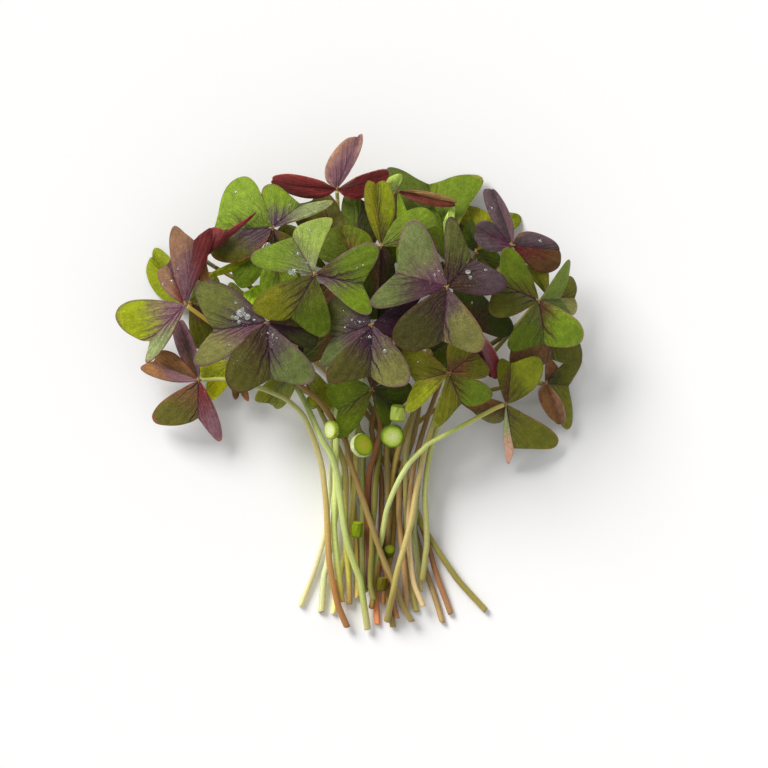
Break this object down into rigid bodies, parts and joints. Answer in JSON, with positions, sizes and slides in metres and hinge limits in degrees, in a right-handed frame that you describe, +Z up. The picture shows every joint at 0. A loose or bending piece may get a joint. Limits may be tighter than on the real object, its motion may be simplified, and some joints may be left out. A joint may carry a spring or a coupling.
{
  "type": "cut bunch of oxalis leaves",
  "caption": "Loose cut bunch of oxalis lying flat: green to purple three-part heart-shaped leaves spread in a fan on long thin stalks that cross at a narrow waist, with a few small round buds.",
  "frame": {"origin": "centre of the bunch's bounding box, on the surface it lies on", "axes": "+Z up from the surface; +Y from the cut ends of the stalks towards the leaves; +X to the right when looked at from above with the leaves at the top"},
  "size_m": [0.1872, 0.1986, 0.0572],
  "materials": {
    "leaf_green": "green leaf blade with a waxy satin bloom, darker purple veins and margin",
    "leaf_olive": "olive green leaf blade with purple mid-vein and margin, satin",
    "leaf_purple": "dark grey purple leaf blade, satin",
    "leaf_brown": "brown and maroon leaf blade, satin",
    "leaf_maroon": "dark maroon underside of a leaf, satin",
    "stem_green": "pale green juicy leaf stalk, semi gloss",
    "stem_tan": "tan brown leaf stalk, semi gloss",
    "stem_red": "reddish brown leaf stalk, semi gloss",
    "bud_green": "yellow green bud, satin"
  },
  "bodies": {
    "root": {"leaf_01": "leaf_maroon", "leaf_02": "leaf_green", "leaf_03": "leaf_brown", "leaf_04": "leaf_brown", "leaf_05": "leaf_olive", "leaf_06": "leaf_green", "leaf_07": "leaf_olive", "leaf_08": "leaf_olive", "leaf_09": "leaf_green", "leaf_10": "leaf_purple", "leaf_11": "leaf_green", "leaf_12": "leaf_green", "leaf_13": "leaf_green", "leaf_14": "leaf_brown", "leaf_15": "leaf_green", "leaf_16": "leaf_green", "leaf_17": "leaf_green", "leaf_18": "leaf_maroon", "leaf_19": "leaf_maroon", "leaf_20": "leaf_green", "leaf_21": "leaf_green", "leaf_22": "leaf_green", "leaf_23": "leaf_green", "leaf_24": "leaf_green", "leaf_25": "leaf_green", "leaf_26": "leaf_brown", "stem_01": "stem_green", "stem_02": "stem_green", "stem_03": "stem_tan", "stem_04": "stem_green", "stem_05": "stem_green", "stem_06": "stem_green", "stem_07": "stem_green", "stem_08": "stem_tan", "stem_09": "stem_green", "stem_10": "stem_red", "stem_11": "stem_tan", "stem_12": "stem_tan", "stem_13": "stem_green", "stem_14": "stem_tan", "stem_15": "stem_green", "stem_16": "stem_tan", "stem_17": "stem_red", "stem_18": "stem_red", "stem_19": "stem_tan", "stem_20": "stem_tan", "stem_21": "stem_tan", "stem_22": "stem_green", "stem_23": "stem_tan", "stem_24": "stem_green", "stem_25": "stem_red", "stem_26": "stem_green", "bud_1": "bud_green", "bud_2": "bud_green", "bud_3": "bud_green", "bud_4": "bud_green", "bud_5": "bud_green", "bud_6": "bud_green", "bud_7": "bud_green", "bud_8": "bud_green"}
  },
  "joints": []
}
